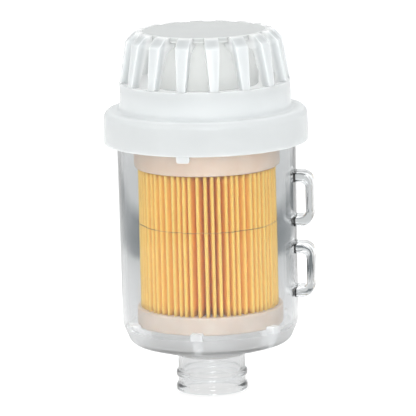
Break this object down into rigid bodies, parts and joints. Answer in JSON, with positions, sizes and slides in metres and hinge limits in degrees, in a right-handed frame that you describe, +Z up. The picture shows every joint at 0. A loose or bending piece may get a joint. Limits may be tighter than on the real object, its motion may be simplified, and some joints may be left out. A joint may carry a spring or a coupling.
{
  "type": "in-line intake filter",
  "caption": "Clear-bowl in-line intake filter: pleated paper element under a vented screw cap, beaded hose spigot below and strap loops on its side.",
  "frame": {"origin": "on the axis at the mouth of the outlet spigot", "axes": "+Z runs up the axis from the spigot to the cap; +X points to the strap loops"},
  "size_m": [0.0759, 0.0742, 0.1323],
  "materials": {
    "clear_bowl": "clear, glossy",
    "cast_end_cap": "cast, satin",
    "core_plastic": "matt",
    "filter_paper": "fibrous, matt",
    "seam_metal": "tinned",
    "spacing_thread": "twisted",
    "plate_plastic": "matt",
    "gasket_rubber": "matt",
    "milky_cap": "milky, satin",
    "milky_disc": "milky, satin"
  },
  "bodies": {
    "housing": {"bowl_shell": "clear_bowl", "outlet_spigot": "clear_bowl", "strap_loop_lower": "clear_bowl", "strap_loop_upper": "clear_bowl", "rest_posts": "clear_bowl"},
    "element": {"element_bottom_cap": "cast_end_cap", "core_tube": "core_plastic", "pleated_media": "filter_paper", "seam_clip": "seam_metal", "pleat_thread": "spacing_thread", "element_top_cap": "cast_end_cap"},
    "cap": {"inlet_plate": "plate_plastic", "cap_gasket": "gasket_rubber", "screw_cap": "milky_cap", "vent_ribs": "milky_cap", "baffle_cup": "milky_disc"}
  },
  "joints": [
    {"name": "element_lift", "type": "slide", "parent": "housing", "child": "element", "axis": [0, 0, 1], "range_m": [0, 0.00326]},
    {"name": "cap_turn", "type": "hinge", "parent": "element", "child": "cap", "pos_m": [0, 0, 0.1], "axis": [0, 0, 1], "range_deg": [0, 390]}
  ],
  "couplings": [
    {"joint": "element_lift", "follows": "cap_turn", "m_per_rad": 0.00047746}
  ]
}
